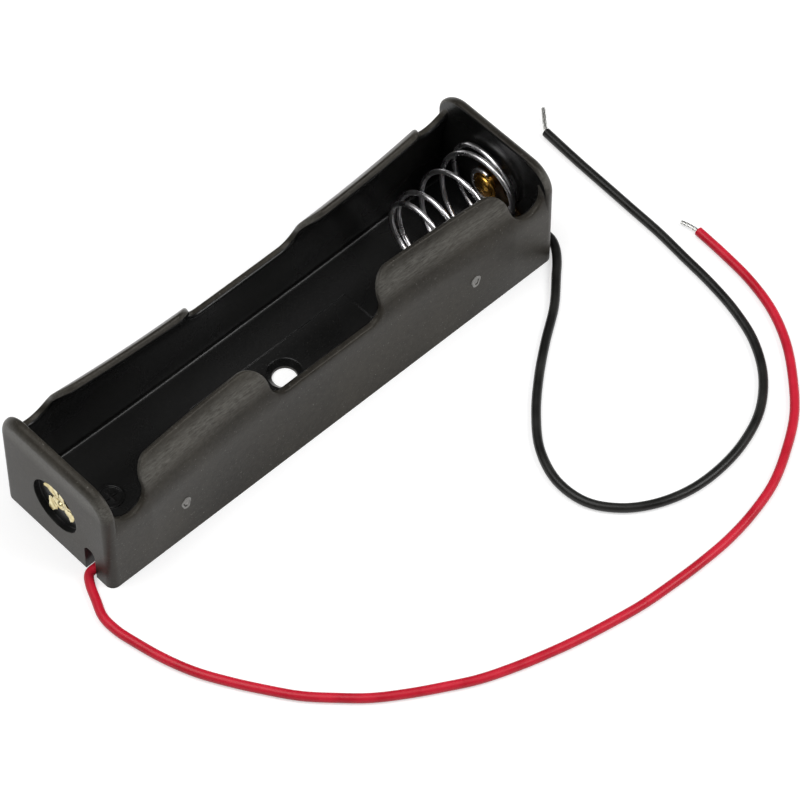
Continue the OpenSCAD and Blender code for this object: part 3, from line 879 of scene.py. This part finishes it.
def gate_mark(x, z):
    """Low oval ring with a raised bead in it, standing a little proud of the -Y wall."""
    wall_y = wall_lean(x, z) - OUTER_R
    r = GATE_MARK_R
    ring = [(-OVERLAP, r), (0.03, r), (GATE_MARK_H, r - 0.08), (GATE_MARK_H, r - 0.3)]
    bead = [(0.015, r - 0.42), (0.015, 0.36), (0.06, 0.22)]
    columns = []
    for out, reach in ring + bead:
        column = []
        for k in range(32):
            a = 2 * math.pi * k / 32
            rough = 1 + 0.07 * math.sin(3 * a + x) + 0.05 * math.sin(5 * a)
            column.append((x + 0.72 * reach * rough * math.cos(a), wall_y - out,
                           z + reach * rough * math.sin(a)))
        columns.append(column)
    return loft(columns)


def flipped(shape, x=1, y=1):
    """A mirrored copy of a shape."""
    vertices, faces = shape
    return [(v[0] * x, v[1] * y, v[2]) for v in vertices], faces


# ---------------------------------------------------------------- housing, joined and cut


def turn_outward(mesh):
    """Turns all the faces of a closed mesh outward."""
    work = bmesh.new()
    work.from_mesh(mesh)
    bmesh.ops.recalc_face_normals(work, faces=work.faces)
    work.to_mesh(mesh)
    work.free()


def combine(base, shape, operation):
    """Adds a shape to a mesh piece, or cuts it away."""
    tool = add_mesh("tool", *shape, None, smooth=False)
    turn_outward(tool.data)
    modifier = base.modifiers.new("combine", "BOOLEAN")
    modifier.operation = operation
    modifier.solver = "EXACT"
    modifier.object = tool
    graph = bpy.context.evaluated_depsgraph_get()
    mesh = bpy.data.meshes.new_from_object(base.evaluated_get(graph))
    base.modifiers.clear()
    old = base.data
    base.data = mesh
    bpy.data.meshes.remove(old)
    bpy.data.objects.remove(tool)


def add_tray():
    """The tray before it is cut: its floor, its rounded end walls and its leaning side walls."""
    half_x = INNER_X + OVERLAP
    half_y = OUTER_R - FLOOR_INSET
    floor = slab((-half_x, -half_y, 0), (half_x, half_y, FLOOR_T))
    tray = add_mesh("moulded_housing", *floor, None)
    turn_outward(tray.data)
    wall = loft(wall_columns())
    end = loft(end_wall_columns())
    for side in (1, -1):
        combine(tray, flipped(end, x=side), "UNION")
        combine(tray, flipped(wall, y=side), "UNION")
    return tray


def cut_floor(tray):
    """The shallow panel sunk in the floor, and the countersunk screw hole in it."""
    deep = FLOOR_T - MARK_H
    sink = COUNTERSINK_R - SCREW_R
    panel = slab((-PANEL_L / 2, PANEL_EDGE_Y - BAY_R, deep), (PANEL_L / 2, PANEL_EDGE_Y, 2 * deep))
    screw = turned([(-CUT, SCREW_R), (deep - sink, SCREW_R), (deep, COUNTERSINK_R),
                    (deep + CUT, COUNTERSINK_R + CUT)], SCREW_AT, "z")
    combine(tray, panel, "DIFFERENCE")
    combine(tray, screw, "DIFFERENCE")


def cut_end_walls(tray):
    """Each end wall's round window, the rivet's hole in it, and the lead's slot."""
    hole_r = SHANK_R + SHANK_CLEAR
    window = turned([(WEB_X, WINDOW_R), (BODY_L, WINDOW_R)], (0, CONTACT_Z), "x")
    rivet_hole = turned([(INNER_X - CUT, hole_r), (BODY_L, hole_r)], (0, CONTACT_Z), "x")
    for side in (1, -1):
        for cutter in (window, rivet_hole, slot_cutter()):
            combine(tray, flipped(cutter, x=side), "DIFFERENCE")


def add_polarity_mark(base):
    """The raised ring and plus sign on the floor by the rivet contact."""
    low, high = FLOOR_T - MARK_H, FLOOR_T + MARK_H
    outer = RING_R
    inner = RING_R - MARK_W
    ring = turned([(low, outer), (high - 0.06, outer), (high, outer - 0.06)], (RING_X, 0), "z")
    hollow = turned([(FLOOR_T, inner), (high - 0.06, inner), (high + 0.1, inner + 0.16)], (RING_X, 0), "z")
    combine(base, ring, "UNION")
    combine(base, hollow, "DIFFERENCE")
    reach, half = RING_R / 2, MARK_W / 2
    combine(base, slab((RING_X - reach, -half, low), (RING_X + reach, half, high)), "UNION")
    combine(base, slab((RING_X - half, -reach, low), (RING_X + half, reach, high)), "UNION")


def in_dark_inside(centre):
    """Whether a face belongs to the dark inside: the bay, a window's recess or a lead slot."""
    x, y, z = centre
    slack = 0.05
    in_window = abs(x) < BODY_L / 2 - slack and math.hypot(y, z - CONTACT_Z) < WINDOW_R + slack
    in_end_wall = INNER_X < abs(x) < BODY_L / 2 - 0.1
    in_slot = in_end_wall and abs(y - SLOT_Y) < SLOT_R + slack and 0.01 < z < SLOT_H + slack
    side = abs(y) + wall_lean(x, z)
    from_axis = side if z < AXIS_Z else math.hypot(side, z - AXIS_Z)
    in_bay = abs(x) < INNER_X + 0.1 and from_axis < OUTER_R - SIDE_WALL * 0.6 and z > FLOOR_T / 2
    return in_window or in_slot or in_bay


def in_gate_mark(centre):
    """Whether a face belongs to one of the pale marks left by the mould on the -Y wall."""
    x, y, z = centre
    near = any(math.hypot(x - mx, z - mz) < GATE_MARK_R + 0.05 for mx, mz in GATE_MARKS)
    return near and y < wall_lean(x, z) - OUTER_R - 0.004


def dress_housing(tray, outer, inner, scar):
    """Gives each face of the housing its plastic, and shades its bends smoothly."""
    mesh = tray.data
    mesh.materials.clear()
    for material in (outer, inner, scar):
        mesh.materials.append(material)
    for polygon in mesh.polygons:
        polygon.use_smooth = True
        centre = polygon.center / MM
        polygon.material_index = 2 if in_gate_mark(centre) else int(in_dark_inside(centre))
    mesh.set_sharp_from_angle(angle=math.radians(32))
    weighted = tray.modifiers.new("weighted", "WEIGHTED_NORMAL")
    weighted.keep_sharp = True


def add_housing(outer, inner, scar):
    """The moulded tray: rounded end walls, leaning side walls with gripping lips, and a floor."""
    tray = add_tray()
    cut_floor(tray)
    cut_end_walls(tray)
    add_polarity_mark(tray)
    for x, z in GATE_MARKS:
        combine(tray, gate_mark(x, z), "UNION")
    dress_housing(tray, outer, inner, scar)
    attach(tray, "holder")
    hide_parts("housing")


# ---------------------------------------------------------------- the scene


def dress(node, material):
    """Gives a CAD node its material."""
    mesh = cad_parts[node].data
    mesh.materials.clear()
    mesh.materials.append(material)


add_camera()
red_cover = insulation("red_insulation", (0.48, 0.007, 0.022), (0.62, 0.013, 0.036), 0.36)
black_cover = insulation("black_insulation", (0.008, 0.008, 0.0075), (0.017, 0.017, 0.0155), 0.34)
tin = metal("tinned_wire", (0.55, 0.54, 0.5), (0.82, 0.82, 0.8), 0.22)
copper = metal("bare_copper", (0.45, 0.2, 0.1), (0.85, 0.5, 0.32), 0.25)
solder = metal("solder", (0.5, 0.5, 0.5), (0.78, 0.78, 0.79), 0.2, scale=500)
steel = metal("spring_steel", (0.84, 0.83, 0.84), (0.93, 0.92, 0.93), 0.24, height=0.000001, edge=0)
nickel = metal("nickel_plate", (0.5, 0.48, 0.44), (0.72, 0.7, 0.66), 0.22)
# Near-black brass, for the negative contact plate.
near_black_brass = metal("near_black_brass", (0.05, 0.028, 0.012), (0.16, 0.095, 0.035), 0.3)
pale_brass = metal("pale_brass", (0.55, 0.44, 0.2), (0.93, 0.86, 0.58), 0.26)
amber_brass = metal("amber_brass", (0.3, 0.12, 0.02), (0.92, 0.52, 0.11), 0.2)
# The outside plastic carries a painted highlight with worn streaks along the lips' bends.
grey_outside = moulded_plastic("spark_eroded_outside_with_painted_highlight", (0.014, 0.0125, 0.0105), (0.042, 0.038, 0.031),
                               gloss=0.17, speck=0.6, scuffed_with_painted_highlight=True)
dark_inside = moulded_plastic("smooth_inside", (0.004, 0.004, 0.004), (0.010, 0.010, 0.0095),
                              gloss=0.3, speck=0.1, scuffed_with_painted_highlight=False, roughness=0.27)
scar = moulded_plastic("gate_scar", (0.16, 0.155, 0.145), (0.3, 0.295, 0.28),
                       gloss=0.3, speck=0.5, scuffed_with_painted_highlight=False)
add_lead("red", RED_ROUTE, RED_TIP, mirrored(strand_route(RED_SLOT_Y)), red_cover, tin, copper)
add_lead("black", BLACK_ROUTE, BLACK_TIP, strand_route(BLACK_SLOT_Y), black_cover, tin, copper)
add_floor()
add_world()
add_area_light("key", (-0.25, 0.15, 0.9), 0.7, 5.5)
add_area_light("fill", (0.42, -0.55, 0.8), 0.5, 5)
add_spring(steel)
add_housing(grey_outside, dark_inside, scar)
add_rivet("positive_rivet_torn", "positive_rivet", PLATE_X, -1, 0, pale_brass)
add_rivet("negative_rivet_torn", "negative_rivet", NEGATIVE_HEAD_X, 1, 140, amber_brass)
dress("positive_contact_plate", nickel)
dress("negative_contact_plate", near_black_brass)
dress("positive_solder_joint", solder)
dress("negative_solder_joint", solder)

bpy.context.scene.view_settings.view_transform = "Standard"
